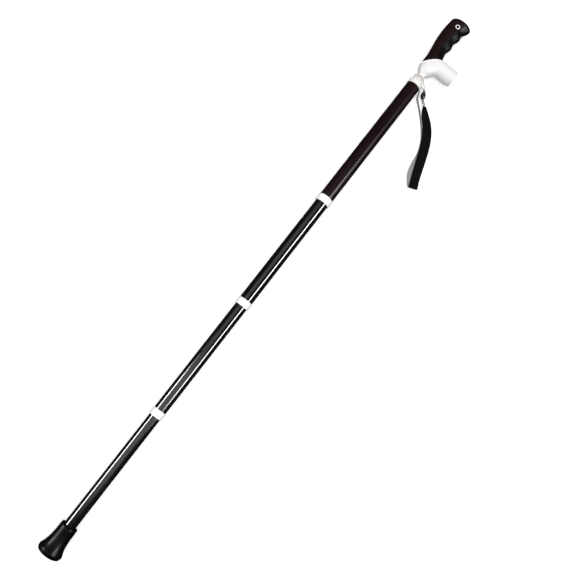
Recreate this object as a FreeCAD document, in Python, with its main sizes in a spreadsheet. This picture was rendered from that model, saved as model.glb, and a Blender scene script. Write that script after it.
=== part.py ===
import FreeCAD, Part
import math
import os

import Sketcher

# Telescopic walking stick with a swivelling handle, drawn out and lying on a surface.
# +X runs up the shaft from the foot's ground face, -Y is the snout's side, +Z is up.
# The handle's own places are measured from the elbow, on the shaft's axis. The swivel centre
# lies on the same axis, a little nearer the foot.

# Driving sizes in millimetres: alias, value.
SIZES = (
    ("foot_length", 46.0),
    ("foot_socket", 38.0),
    ("foot_bulb_radius", 18.0),
    ("foot_base_radius", 15.9),
    ("foot_bulb_height", 6.5),
    ("foot_waist_height", 28.0),
    ("foot_blend", 0.25),
    ("foot_sleeve_radius", 12.4),
    ("foot_cup_radius", 10.4),
    ("foot_cup_depth", 7.0),
    ("foot_tread_radius", 9.0),
    ("foot_tread_width", 2.0),
    ("foot_tread_depth", 1.5),
    ("washer_thick", 1.5),
    ("tip_plug_depth", 14.0),
    ("tip_plug_head", 1.5),
    ("tube_radius", 11.0),
    ("tube_wall", 0.55),
    ("tube_gap", 0.25),
    ("lower_show", 179.5),
    ("third_show", 183.0),
    ("second_show", 183.0),
    ("upper_show", 226.0),
    ("overlap", 28.0),
    ("collar_length", 11.0),
    ("collar_lip", 5.0),
    ("collar_front", 0.8),
    ("collar_proud", 0.8),
    ("collar_edge", 0.4),
    ("collet_slit", 2.5),
    ("running_gap", 0.05),
    ("stop_gap", 0.2),
    ("bush_length", 3.0),
    ("plug_depth", 4.0),
    ("plug_head", 1.0),
    ("plug_neck_step", 2.6),
    ("neck_plug_depth", 18.0),
    ("neck_plug_step", 2.0),
    ("neck_plug_rise", 5.0),
    ("top_collar_length", 5.0),
    ("top_collar_radius", 12.0),
    ("neck_bolt_radius", 2.5),
    ("neck_bolt_head_radius", 5.0),
    ("neck_bolt_head", 4.0),
    ("neck_bolt_length", 34.0),
    ("handle_height", 51.5),
    ("dome_radius", 12.0),
    ("dome_height", 9.0),
    ("dome_top_radius", 8.6),
    ("dome_round", 6.5),
    ("neck_radius", 6.2),
    ("neck_below_elbow", 29.0),
    ("neck_sweep", 16.25),
    ("elbow_radius", 12.7),
    ("elbow_straight", 14.0),
    ("elbow_blend", 0.3),
    ("snout_reach", 43.0),
    ("snout_drop", 2.5),
    ("snout_belly_radius", 13.4),
    ("snout_end_radius", 12.0),
    ("snout_bore_radius", 8.5),
    ("snout_bore_end", 8.0),
    ("snout_cap_radius", 10.2),
    ("snout_cap_thick", 3.0),
    ("swivel_setback", 4.0),
    ("seam_gap", 0.2),
    ("ring_thick", 1.6),
    ("track_radius", 9.0),
    ("track_width", 4.4),
    ("track_depth", 1.0),
    ("detent_ball_radius", 2.0),
    ("detent_depth", 10.0),
    ("detent_spring_wire", 0.4),
    ("detent_spring_turns", 4.0),
    ("pivot_radius", 3.0),
    ("pivot_head_radius", 4.8),
    ("pivot_head", 3.0),
    ("pivot_wall", 5.0),
    ("pivot_pocket_radius", 5.4),
    ("pivot_pocket_end", 12.5),
    ("disc_spring_pitch", 0.9),
    ("disc_spring_count", 3.0),
    ("nut_radius", 5.0),
    ("nut_thick", 4.0),
    ("nut_seat", 4.4),
    ("grip_reach", 80.0),
    ("grip_skin", 2.6),
    ("end_cap_thick", 3.6),
    ("end_cap_proud", 0.6),
    ("end_cap_inset", 1.2),
    ("end_disc_inset", 4.2),
    ("end_disc_thick", 1.2),
    ("inlay_width", 1.3),
    ("strap_floor", 13.6),
    ("strap_width", 14.0),
    ("strap_thick", 1.3),
    ("strap_lift", 1.6),
    ("strap_edge_height", 9.0),
    ("neck_cord_radius", 0.8),
    ("crimp_radius", 2.1),
    ("bead_radius", 3.6),
    ("bead_half_length", 5.4),
    ("sleeve_radius", 1.7),
)

# Sections of the grip: distance past the elbow, top, finger side, half thickness.
GRIP_SECTIONS = (
    (-20.0, 12.7, -12.7, 12.7),
    (-6.0, 12.7, -12.7, 12.7),
    (7.0, 13.2, -12.6, 12.3),
    (17.0, 14.3, -10.3, 11.2),
    (25.0, 15.4, -8.8, 10.5),
    (35.0, 16.8, -11.5, 11.1),
    (45.0, 17.5, -9.8, 11.3),
    (56.0, 17.8, -13.2, 12.0),
    (65.0, 17.4, -12.1, 12.2),
    (76.0, 16.6, -18.0, 13.2),
    (80.0, 16.3, -18.6, 13.4),
)

# Snout sections: distance from the elbow along -Y, share of the drop, radius share.
SNOUT_SECTIONS = (
    (-14.0, 0.0, 0.0),
    (2.0, 0.0, 0.0),
    (14.0, 0.5, 0.1),
    (29.0, 1.0, 1.0),
    (37.0, 0.9, 0.7),
)

# Cusps of the wave line between shell and finger pad, and the rise of the wave after each.
WAVE_CUSPS = ((-20.0, -3.8), (4.0, -3.2), (39.0, -2.4), (58.0, -4.2), (79.0, -7.0), (96.0, -9.0))
WAVE_RISES = (0.6, 4.4, 3.0, 2.2, 0.4)

# Neck cord, from the crimp over the neck and back, as points from the elbow.
NECK_CORD_POINTS = (
    (-39.8, -16.7, -7.9),
    (-37.2, -11.0, -0.2),
    (-35.0, -4.8, 8.3),
    (-35.0, 2.9, 9.2),
    (-35.0, 8.6, 4.2),
    (-35.0, 9.0, -3.5),
    (-35.1, 3.6, -9.0),
    (-36.8, -4.0, -9.7),
    (-38.1, -10.8, -9.5),
    (-39.9, -16.9, -9.9),
)

# Strap's two strands, seen from above: each from the handle end to the fold,
# measured from the elbow.
FRONT_STRAND = (
    (-60.7, -32.8),
    (-73.5, -43.4),
    (-87.0, -55.3),
    (-102.5, -65.3),
    (-120.0, -73.2),
    (-138.5, -79.4),
    (-158.5, -86.3),
    (-177.5, -94.6),
)
BACK_FLAT_STRAND = (
    (-99.5, -51.6),
    (-113.5, -62.2),
    (-131.5, -71.6),
    (-153.5, -79.6),
    (-177.5, -89.6),
)
BACK_EDGE_STRAND = (
    (-44.9, -12.6),
    (-53.0, -15.0),
    (-60.9, -22.0),
    (-69.1, -30.4),
    (-82.1, -40.2),
    (-99.5, -51.6),
)

doc = FreeCAD.newDocument("walking_stick")
sheet = doc.addObject("Spreadsheet::Sheet", "sizes")
nodes = {}


def fill_sheet():
    for row, (alias, value) in enumerate(SIZES, start=1):
        sheet.set(f"A{row}", alias)
        sheet.set(f"B{row}", str(value))
        sheet.setAlias(f"B{row}", alias)
    doc.recompute()


def value(expression):
    """The number that an expression on the sheet's aliases stands for."""
    found = sheet.evalExpression(expression)
    return float(getattr(found, "Value", found))


def size(alias):
    """An alias as an expression."""
    return f"sizes.{alias}"


def plus(*terms):
    return " + ".join(f"({term})" for term in terms)


def minus(first, *terms):
    return " - ".join(f"({term})" for term in (first, *terms))


# Stations up the shaft, as expressions.
FOOT_TOP = size("foot_length")
TUBE_FOOT = minus(FOOT_TOP, size("foot_socket"))
MOUTH_3 = plus(FOOT_TOP, size("lower_show"))
MOUTH_2 = plus(MOUTH_3, size("collar_length"), size("third_show"))
MOUTH_1 = plus(MOUTH_2, size("collar_length"), size("second_show"))
TUBE_TOP = plus(MOUTH_1, size("collar_length"), size("upper_show"))
ELBOW = plus(TUBE_TOP, size("handle_height"))
SWIVEL = minus(ELBOW, size("swivel_setback"))
DOME_BASE = plus(TUBE_TOP, size("top_collar_length"))
SEAM_FACE = plus(size("seam_gap"), size("ring_thick"))
MOUTHS = (MOUTH_1, MOUTH_2, MOUTH_3)


def tube_radius(number):
    """Outer radius of tube 1 (upper) to 4 (lower)."""
    return f"sizes.tube_radius - {number - 1} * (sizes.tube_wall + sizes.tube_gap)"


def bore_radius(number):
    return minus(tube_radius(number), size("tube_wall"))


def keep(node, shape_object):
    """Make an object of the document the sub-part with this name."""
    shape_object.Label = node
    nodes[node] = shape_object
    return shape_object


def origin_feature(body, role):
    return next(f for f in body.Origin.OriginFeatures if f.Role == role)


def sketch_on(body, name, role="XY_Plane", turn=0.0):
    sketch = body.newObject("Sketcher::SketchObject", name)
    sketch.AttachmentSupport = [(origin_feature(body, role), "")]
    sketch.MapMode = "FlatFace"
    turned = FreeCAD.Rotation(FreeCAD.Vector(0, 0, 1), turn)
    sketch.AttachmentOffset = FreeCAD.Placement(FreeCAD.Vector(), turned)
    return sketch


def arc_between(start, end, radius):
    """The shorter arc from start to end; a positive radius bulges to the left of the way."""
    chord = end.sub(start)
    half = chord.Length / 2
    across = FreeCAD.Vector(-chord.y, chord.x, 0).normalize()
    rise = abs(radius) - math.sqrt(radius * radius - half * half)
    middle = (start + end) * 0.5 + across * math.copysign(rise, radius)
    return Part.Arc(start, middle, end)


def ends_of(corner):
    """Sketch vertices at the start and end of the edge that leaves a corner."""
    clockwise = len(corner) == 3 and value(corner[2]) > 0
    return (2, 1) if clockwise else (1, 2)


def pin_down(sketch, edge, corner):
    """Bind the start of an edge to a corner's two expressions."""
    start = ends_of(corner)[0]
    for kind, expression in zip(("DistanceX", "DistanceY"), corner[:2]):
        number = value(expression)
        rule = sketch.addConstraint(Sketcher.Constraint(kind, edge, start, number))
        if "sizes." in expression:
            sketch.setExpression(f"Constraints[{rule}]", expression)


def draw_outline(sketch, corners):
    """Closed outline. A corner is (x, y) or (x, y, radius of the arc that leaves it)."""
    places = [FreeCAD.Vector(value(c[0]), value(c[1]), 0) for c in corners]
    for number, corner in enumerate(corners):
        start, end = places[number], places[(number + 1) % len(corners)]
        if len(corner) == 3:
            sketch.addGeometry(arc_between(start, end, value(corner[2])))
        else:
            sketch.addGeometry(Part.LineSegment(start, end))
    for number, corner in enumerate(corners):
        following = (number + 1) % len(corners)
        end, start = ends_of(corner)[1], ends_of(corners[following])[0]
        sketch.addConstraint(Sketcher.Constraint("Coincident", number, end, following, start))
        pin_down(sketch, number, corner)
        if len(corner) == 3:
            radius = abs(value(corner[2]))
            rule = sketch.addConstraint(Sketcher.Constraint("Radius", number, radius))
            sketch.setExpression(f"Constraints[{rule}]", f"abs({corner[2]})")


def turned_body(name, corners, place=("0", "0", "0"), heading=(1, 0, 0)):
    """A body turned about its own X axis, set at a place, with X along the heading."""
    body = doc.addObject("PartDesign::Body", name)
    sketch = sketch_on(body, name + "_outline")
    draw_outline(sketch, corners)
    turned = body.newObject("PartDesign::Revolution", name + "_turned")
    turned.Profile = sketch
    turned.ReferenceAxis = (sketch, ["H_Axis"])
    turned.Angle = 360
    rotation = FreeCAD.Rotation(FreeCAD.Vector(1, 0, 0), FreeCAD.Vector(*heading))
    body.Placement = FreeCAD.Placement(FreeCAD.Vector(*map(value, place)), rotation)
    for axis, expression in zip("xyz", place):
        if "sizes." in expression:
            body.setExpression(f"Placement.Base.{axis}", expression)
    return body


def tube_outline(start, end, inner, outer):
    return ((start, inner), (start, outer), (end, outer), (end, inner))


def ring_body(name, start, end, inner, outer):
    """A plain ring or sleeve on the shaft's axis."""
    return turned_body(name, tube_outline(start, end, inner, outer))


def rod_outline(*steps):
    """Steps of (end, radius) of a solid rod, the first being its start."""
    corners = [(steps[0][0], "0")]
    for (start, _), (end, radius) in zip(steps, steps[1:]):
        corners += [(start, radius), (end, radius)]
    return (*corners, (steps[-1][0], "0"))


def box_beyond(name, offset, forward=True):
    """A big box that holds all that lies past the seam plane moved by offset."""
    box = doc.addObject("Part::Box", name)
    box.Length, box.Width, box.Height = 200, 400, 400
    tilt = FreeCAD.Rotation(FreeCAD.Vector(0, 0, 1), 45)
    back = "0" if forward else "-200"
    box.Placement = FreeCAD.Placement(FreeCAD.Vector(), tilt)
    along = f"({offset} + {back}) * cos(45 deg)"
    box.setExpression("Placement.Base.x", f"{SWIVEL} + {along} + 200 * cos(45 deg)")
    box.setExpression("Placement.Base.y", f"{along} - 200 * cos(45 deg)")
    box.setExpression("Placement.Base.z", "-200")
    return box


def joined(name, *pieces):
    fuse = doc.addObject("Part::MultiFuse", name)
    fuse.Shapes = list(pieces)
    return fuse


def cut(name, base, tool):
    result = doc.addObject("Part::Cut", name)
    result.Base = base
    result.Tool = tool
    return result


def common(name, *pieces):
    result = doc.addObject("Part::MultiCommon", name)
    result.Shapes = list(pieces)
    return result


def foot():
    bulb, sleeve = size("foot_bulb_radius"), size("foot_sleeve_radius")
    base, height = size("foot_base_radius"), size("foot_bulb_height")
    waist = size("foot_waist_height")
    cup_floor = minus(FOOT_TOP, size("foot_cup_depth"))
    tread, width = size("foot_tread_radius"), size("foot_tread_width")
    depth = size("foot_tread_depth")
    rise, share = f"({bulb} - {base})", size("foot_blend")
    run, fall = f"({waist} - {height})", f"({bulb} - {sleeve})"
    crest = f"({height}^2 + {rise}^2) / (2 * {rise})"
    both = f"({run}^2 + {fall}^2) / (2 * {fall})"
    blend = (plus(height, f"{share} * {run}"), minus(bulb, f"{share} * {fall}"))
    plug_floor = minus(TUBE_FOOT, size("washer_thick"), size("tip_plug_head"))
    outline = (
        ("0", "0"),
        ("0", tread),
        (depth, tread),
        (depth, plus(tread, width)),
        ("0", plus(tread, width)),
        ("0", base, crest),
        (height, bulb, f"{share} * {both}"),
        (*blend, f"-((1 - {share}) * {both})"),
        (waist, sleeve),
        (FOOT_TOP, sleeve),
        (FOOT_TOP, size("foot_cup_radius")),
        (cup_floor, size("foot_cup_radius")),
        (cup_floor, tube_radius(4)),
        (plug_floor, tube_radius(4)),
        (plug_floor, "0"),
    )
    keep("foot_ferrule", turned_body("foot_ferrule", outline))


def foot_inside():
    plug_start = minus(TUBE_FOOT, size("tip_plug_head"))
    washer_start = minus(plug_start, size("washer_thick"))
    keep("foot_washer", ring_body("foot_washer", washer_start, plug_start, "2", tube_radius(4)))
    outline = rod_outline(
        (plug_start, None),
        (TUBE_FOOT, tube_radius(4)),
        (plus(TUBE_FOOT, size("tip_plug_depth")), bore_radius(4)),
    )
    keep("tip_plug", turned_body("tip_plug", outline))


def tubes():
    starts = [plus(mouth, size("collar_lip")) for mouth in MOUTHS] + [TUBE_FOOT]
    ends = [TUBE_TOP] + [plus(mouth, size("overlap")) for mouth in MOUTHS]
    names = ("upper_tube", "second_tube", "third_tube", "lower_tube")
    for number, (name, start, end) in enumerate(zip(names, starts, ends), start=1):
        keep(name, ring_body(name, start, end, bore_radius(number), tube_radius(number)))


def collar(number, mouth):
    """White clamp collar that turns on the mouth of tube number."""
    inner = plus(tube_radius(number + 1), size("running_gap"), size("running_gap"))
    sleeve = plus(tube_radius(number), size("running_gap"))
    outer = plus(tube_radius(number), size("collar_proud"))
    edge, front = size("collar_edge"), plus(mouth, size("collar_front"))
    end = plus(mouth, size("collar_length"))
    outline = (
        (mouth, inner),
        (mouth, minus(outer, edge)),
        (plus(mouth, edge), outer),
        (minus(end, edge), outer),
        (end, minus(outer, edge)),
        (end, sleeve),
        (front, sleeve),
        (front, inner),
    )
    return turned_body(f"collar_{number}", outline)


def collet(number, mouth):
    """Split ring in the collar that grips the inner tube."""
    gap = size("running_gap")
    start = plus(mouth, size("collar_front"), gap)
    end = plus(mouth, size("collar_lip"))
    inner, outer = plus(tube_radius(number + 1), gap), tube_radius(number)
    body = ring_body(f"collet_{number}", start, end, inner, outer)
    slit = sketch_on(body, f"collet_{number}_slit_outline")
    far, half = plus(end, "5"), f"{size('collet_slit')} / 2"
    before = minus(start, "5")
    corners = ((before, f"-({half})"), (far, f"-({half})"), (far, half), (before, half))
    draw_outline(slit, corners)
    pocket = body.newObject("PartDesign::Pocket", f"collet_{number}_slit")
    pocket.Profile = slit
    pocket.Type = "Length"
    pocket.Length = 30
    pocket.Reversed = True
    return body


def liner(number, mouth):
    """Thin sleeve in the outer tube that the inner tube slides in."""
    start = plus(mouth, size("collar_lip"))
    end = minus(plus(mouth, size("overlap")), size("stop_gap"))
    inner = plus(tube_radius(number + 1), size("running_gap"))
    return ring_body(f"liner_{number}", start, end, inner, bore_radius(number))


def stop_plug(number, mouth):
    """Plug in the inner tube's end, with a neck and head that hold the guide bush."""
    end = plus(mouth, size("overlap"))
    bore = bore_radius(number + 1)
    neck = minus(bore, size("plug_neck_step"))
    shoulder = plus(end, size("bush_length"), size("stop_gap"))
    outline = rod_outline(
        (minus(end, size("plug_depth")), None),
        (end, bore),
        (shoulder, neck),
        (plus(shoulder, size("plug_head")), minus(bore, "0.8")),
    )
    return turned_body(f"stop_plug_{number}", outline)


def guide_bush(number, mouth):
    """Ring on the stop plug's neck that glides in the outer tube."""
    start = plus(mouth, size("overlap"), f"{size('stop_gap')} / 2")
    inner = minus(bore_radius(number + 1), size("plug_neck_step"), f"-{size('running_gap')}")
    outer = minus(bore_radius(number), size("running_gap"))
    return ring_body(f"guide_bush_{number}", start, plus(start, size("bush_length")), inner, outer)


def telescoping_joints():
    for number, mouth in enumerate(MOUTHS, start=1):
        for make in (collar, collet, liner, stop_plug, guide_bush):
            body = make(number, mouth)
            keep(body.Name, body)


def neck_parts():
    bore = bore_radius(1)
    start = minus(TUBE_TOP, size("neck_plug_depth"))
    rise = plus(TUBE_TOP, size("neck_plug_rise"), size("neck_plug_rise"))
    step = minus(bore, size("neck_plug_step"))
    bolt = size("neck_bolt_radius")
    head_end = plus(start, size("neck_bolt_head"))
    seat = plus(size("neck_bolt_head_radius"), size("running_gap"))
    outline = (
        (start, seat),
        (start, bore),
        (TUBE_TOP, bore),
        (TUBE_TOP, step),
        (rise, step),
        (rise, bolt),
        (head_end, bolt),
        (head_end, seat),
    )
    keep("neck_plug", turned_body("neck_plug", outline))
    collar_outline = (
        (TUBE_TOP, step),
        (TUBE_TOP, minus(size("top_collar_radius"), size("collar_edge"))),
        (plus(TUBE_TOP, size("collar_edge")), size("top_collar_radius")),
        (DOME_BASE, size("top_collar_radius")),
        (DOME_BASE, step),
    )
    keep("top_collar", turned_body("top_collar", collar_outline))
    bolt_outline = rod_outline(
        (start, None),
        (head_end, size("neck_bolt_head_radius")),
        (plus(head_end, size("neck_bolt_length")), bolt),
    )
    keep("neck_bolt", turned_body("neck_bolt", bolt_outline))


def handle_core():
    """Domed base, thin neck and elbow, turned about the shaft's axis."""
    dome, edge = size("dome_radius"), size("collar_edge")
    dome_top = plus(DOME_BASE, size("dome_height"))
    neck = minus(ELBOW, size("neck_below_elbow"))
    elbow = minus(ELBOW, size("elbow_straight"))
    run = "(sizes.neck_below_elbow - sizes.elbow_straight)"
    rise = "(sizes.elbow_radius - sizes.neck_radius)"
    both = f"(({run})^2 + ({rise})^2) / (2 * {rise})"
    share = size("elbow_blend")
    blend = (plus(neck, f"{share} * {run}"), plus(size("neck_radius"), f"{share} * {rise}"))
    socket = minus(bore_radius(1), size("neck_plug_step"))
    socket_end = plus(TUBE_TOP, size("neck_plug_rise"), size("neck_plug_rise"))
    start = minus(TUBE_TOP, size("neck_plug_depth"))
    bolt_end = plus(start, size("neck_bolt_head"), size("neck_bolt_length"))
    outline = (
        (DOME_BASE, socket),
        (DOME_BASE, minus(dome, edge)),
        (plus(DOME_BASE, edge), dome),
        (plus(DOME_BASE, "3"), dome, size("dome_round")),
        (dome_top, size("dome_top_radius"), f"-{size('neck_sweep')}"),
        (neck, size("neck_radius"), f"-({share} * {both})"),
        (*blend, f"(1 - {share}) * {both}"),
        (elbow, size("elbow_radius")),
        (plus(ELBOW, "20"), size("elbow_radius")),
        (plus(ELBOW, "20"), "0"),
        (bolt_end, "0"),
        (bolt_end, size("neck_bolt_radius")),
        (socket_end, size("neck_bolt_radius")),
        (socket_end, socket),
    )
    return turned_body("handle_core", outline)


def circle_at(name, radius, x, y):
    """A circle that faces along Y."""
    circle = doc.addObject("Part::Ellipse", name)
    facing = FreeCAD.Rotation(FreeCAD.Vector(1, 0, 0), 90)
    circle.Placement = FreeCAD.Placement(FreeCAD.Vector(0, float(y), 0), facing)
    circle.setExpression("MajorRadius", radius)
    circle.setExpression("MinorRadius", radius)
    circle.setExpression("Placement.Base.x", x)
    return circle


def snout():
    """Round stub across the shaft, swelling towards a slightly narrower flat end."""
    circles = []
    growth = "(sizes.snout_belly_radius - sizes.elbow_radius)"
    for number, (reach, drop, swell) in enumerate(SNOUT_SECTIONS):
        radius = plus(size("elbow_radius"), f"{swell} * {growth}")
        x = minus(ELBOW, f"{drop} * {size('snout_drop')}")
        circles.append(circle_at(f"snout_section_{number}", radius, x, -reach))
    end = circle_at("snout_section_end", size("snout_end_radius"), "0", 0)
    end.setExpression("Placement.Base.x", minus(ELBOW, f"0.8 * {size('snout_drop')}"))
    end.setExpression("Placement.Base.y", f"-{size('snout_reach')}")
    loft = doc.addObject("Part::Loft", "snout_skin")
    loft.Sections = [*circles, end]
    loft.Solid = True
    loft.Ruled = False
    return loft


def rod_to_snout_end(name, radius, start, end):
    """A rod on the snout's axis, from start to end below the shaft's axis along -Y."""
    outline = ((start, "0"), (start, radius), (end, radius), (end, "0"))
    place = (minus(ELBOW, f"0.8 * {size('snout_drop')}"), "0", "0")
    return turned_body(name, outline, place, (0, -1, 0))


def along_pivot(name, corners):
    """A body turned about the pivot's axis, measured from the swivel centre."""
    return turned_body(name, corners, (SWIVEL, "0", "0"), (1, 1, 0))


def detent_place():
    """Where the detent's bore is centred, across the seam from the swivel centre."""
    side = f"{size('track_radius')} * cos(45 deg)"
    return (plus(SWIVEL, side), f"-({side})", "0")


def handle_body():
    pivot = plus(size("pivot_radius"), size("running_gap"))
    pocket, wall = size("pivot_pocket_radius"), size("pivot_wall")
    pivot_hole = rod_outline(
        (f"-({size('pivot_pocket_end')})", None),
        (f"-({wall})", pocket),
        ("5", pivot),
    )
    ball = plus(size("detent_ball_radius"), size("running_gap"))
    detent_hole = rod_outline((f"-({size('detent_depth')})", None), ("5", ball))
    reach, thick = size("snout_reach"), size("snout_cap_thick")
    hollows = joined(
        "handle_hollows",
        box_beyond("handle_seam_cut", "0"),
        along_pivot("pivot_hole", pivot_hole),
        turned_body("detent_hole", detent_hole, detent_place(), (1, 1, 0)),
        rod_to_snout_end("snout_bore", size("snout_bore_radius"), size("snout_bore_end"), reach),
        rod_to_snout_end("cap_seat", size("snout_cap_radius"), minus(reach, thick), plus(reach, "1")),
    )
    solid = joined("handle_solid", handle_core(), snout())
    keep("handle_body", cut("handle_body", solid, hollows))
    cap = rod_to_snout_end("snout_cap", size("snout_cap_radius"), minus(reach, thick), reach)
    keep("snout_cap", cap)


def seam_ellipse(name, offset, thick, radius):
    """A plate of the elbow's oval section, square to the pivot."""
    oval = doc.addObject("Part::Ellipse", name + "_oval")
    oval.setExpression("MajorRadius", f"({radius}) / cos(45 deg)")
    oval.setExpression("MinorRadius", radius)
    normal = FreeCAD.Vector(1, 1, 0).normalize()
    along = FreeCAD.Vector(1, -1, 0).normalize()
    facing = FreeCAD.Rotation(along, normal.cross(along), normal, "ZXY")
    oval.Placement = FreeCAD.Placement(FreeCAD.Vector(), facing)
    oval.setExpression("Placement.Base.x", f"{SWIVEL} + ({offset}) * cos(45 deg)")
    oval.setExpression("Placement.Base.y", f"({offset}) * cos(45 deg)")
    plate = doc.addObject("Part::Extrusion", name)
    plate.Base = oval
    plate.Dir = normal
    plate.DirMode = "Custom"
    plate.Solid = True
    plate.setExpression("LengthFwd", thick)
    return plate


def swivel_ring():
    """Oval plate in the seam, with a round track for the detent ball."""
    gap, thick = size("seam_gap"), size("ring_thick")
    plate = seam_ellipse("ring_plate", gap, thick, size("elbow_radius"))
    inner = f"{size('track_radius')} - {size('track_width')} / 2"
    outer = f"{size('track_radius')} + {size('track_width')} / 2"
    track = along_pivot("ring_track", tube_outline("0", plus(gap, size("track_depth")), inner, outer))
    hole = along_pivot("ring_hole", rod_outline(("-1", None), ("5", size("pivot_radius"))))
    keep("swivel_ring", cut("swivel_ring", plate, joined("ring_cuts", track, hole)))


def pivot_parts():
    head_start = f"-({size('pivot_wall')})"
    stack = f"{size('disc_spring_count')} * {size('disc_spring_pitch')} + 0.4"
    head_end = minus(head_start, stack)
    start = minus(head_end, size("pivot_head"))
    nut_end = plus(size("nut_seat"), size("nut_thick"))
    bolt = rod_outline(
        (start, None),
        (head_end, size("pivot_head_radius")),
        (plus(nut_end, "1"), size("pivot_radius")),
    )
    keep("pivot_bolt", along_pivot("pivot_bolt", bolt))
    discs = []
    for number in range(int(value(size("disc_spring_count")))):
        near = minus(head_start, f"{number} * {size('disc_spring_pitch')} + 0.1")
        inner = plus(size("pivot_radius"), size("running_gap"), size("running_gap"))
        outer = minus(size("pivot_pocket_radius"), "0.4")
        corners = (
            (minus(near, "0.6"), inner),
            (near, inner),
            (minus(near, "0.25"), outer),
            (minus(near, "0.85"), outer),
        )
        discs.append(along_pivot(f"disc_spring_{number}", corners))
    keep("spring_washers", joined("spring_washers", *discs))
    nut = doc.addObject("Part::Prism", "nut_blank")
    nut.Polygon = 6
    nut.setExpression("Circumradius", size("nut_radius"))
    nut.setExpression("Height", size("nut_thick"))
    facing = FreeCAD.Rotation(FreeCAD.Vector(0, 0, 1), FreeCAD.Vector(1, 1, 0))
    nut.Placement = FreeCAD.Placement(FreeCAD.Vector(), facing)
    nut.setExpression("Placement.Base.x", f"{SWIVEL} + {size('nut_seat')} * cos(45 deg)")
    nut.setExpression("Placement.Base.y", f"{size('nut_seat')} * cos(45 deg)")
    bore = along_pivot("nut_bore", rod_outline(("0", None), ("20", size("pivot_radius"))))
    keep("pivot_nut", cut("pivot_nut", nut, bore))
    return nut


def half_turns(radius, height, turns):
    """A coil's line up the Z axis, each half turn an arc tilted so that the next one meets it smoothly."""
    rise = height / (2 * turns)
    bulge = math.hypot(radius, rise / 2)
    arcs = []
    for number in range(int(2 * turns)):
        side = 1 - 2 * (number % 2)
        start = FreeCAD.Vector(side * radius, 0, number * rise)
        middle = FreeCAD.Vector(0, side * bulge, (number + 0.5) * rise)
        end = FreeCAD.Vector(-side * radius, 0, (number + 1) * rise)
        arcs.append(Part.Arc(start, middle, end).toShape())
    return Part.Wire(arcs)


def detent_parts():
    x, y, _ = detent_place()
    inset = f"(sizes.seam_gap + sizes.track_depth - 0.2 - {size('detent_ball_radius')}) * cos(45 deg)"
    ball = doc.addObject("Part::Sphere", "detent_ball")
    ball.setExpression("Radius", size("detent_ball_radius"))
    ball.setExpression("Placement.Base.x", plus(x, inset))
    ball.setExpression("Placement.Base.y", plus(y, inset))
    keep("detent_ball", ball)
    coil = doc.addObject("Part::Feature", "detent_spring")
    wire = value(size("detent_spring_wire"))
    room = value(size("detent_depth")) - 2 * value(size("detent_ball_radius"))
    radius = value(size("detent_ball_radius")) - wire / 2
    turns = value(size("detent_spring_turns"))
    height = room - wire
    section = Part.Wire([Part.makeCircle(wire / 2, FreeCAD.Vector(radius, 0, 0), FreeCAD.Vector(0, 1, 0))])
    coil.Shape = half_turns(radius, height, turns).makePipeShell([section], True, True)
    facing = FreeCAD.Rotation(FreeCAD.Vector(0, 0, 1), FreeCAD.Vector(1, 1, 0))
    start = -value(size("detent_depth")) + wire / 2 + 0.1
    step = start * math.cos(math.radians(45))
    place = FreeCAD.Vector(value(x) + step, value(y) + step, 0)
    coil.Placement = FreeCAD.Placement(place, facing)
    keep("detent_spring", coil)


def grip_form(name, inset):
    """Loft of the grip's oval sections, pulled in by inset."""
    ovals = []
    cyclic = FreeCAD.Rotation(FreeCAD.Vector(1, 1, 1), 120)
    for number, (reach, top, bottom, half) in enumerate(GRIP_SECTIONS):
        oval = doc.addObject("Part::Ellipse", f"{name}_section_{number}")
        oval.setExpression("MajorRadius", f"{(top - bottom) / 2} - ({inset})")
        oval.setExpression("MinorRadius", f"{half} - ({inset})")
        place = FreeCAD.Vector(0, (top + bottom) / 2, 0)
        oval.Placement = FreeCAD.Placement(place, cyclic)
        ahead = f"{reach} * {size('grip_reach')} / {GRIP_SECTIONS[-1][0]}"
        oval.setExpression("Placement.Base.x", plus(ELBOW, ahead))
        ovals.append(oval)
    loft = doc.addObject("Part::Loft", name)
    loft.Sections = ovals
    loft.Solid = True
    return loft


def wave_zone(name, drop):
    """A prism that holds all on the finger side of the wave line, lowered by drop."""
    body = doc.addObject("PartDesign::Body", name)
    sketch = sketch_on(body, name + "_outline")
    corners = []
    stretch = f"{size('grip_reach')} / {GRIP_SECTIONS[-1][0]}"
    for number, (reach, height) in enumerate(WAVE_CUSPS):
        x, y = plus(ELBOW, f"{reach} * {stretch}"), f"{height} - ({drop})"
        corner = (x, y)
        if number < len(WAVE_RISES):
            ahead, up = WAVE_CUSPS[number + 1]
            half = math.hypot(ahead - reach, up - height) / 2
            rise = WAVE_RISES[number]
            corner += (f"{(half * half + rise * rise) / (2 * rise)} * {stretch}",)
        corners.append(corner)
    far = plus(ELBOW, f"{WAVE_CUSPS[-1][0]} * {stretch}")
    near = plus(ELBOW, f"{WAVE_CUSPS[0][0]} * {stretch}")
    corners += [(far, "-40"), (near, "-40")]
    draw_outline(sketch, corners)
    pad = body.newObject("PartDesign::Pad", name + "_pad")
    pad.Profile = sketch
    pad.Length = 60
    pad.Midplane = True
    return body


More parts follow.
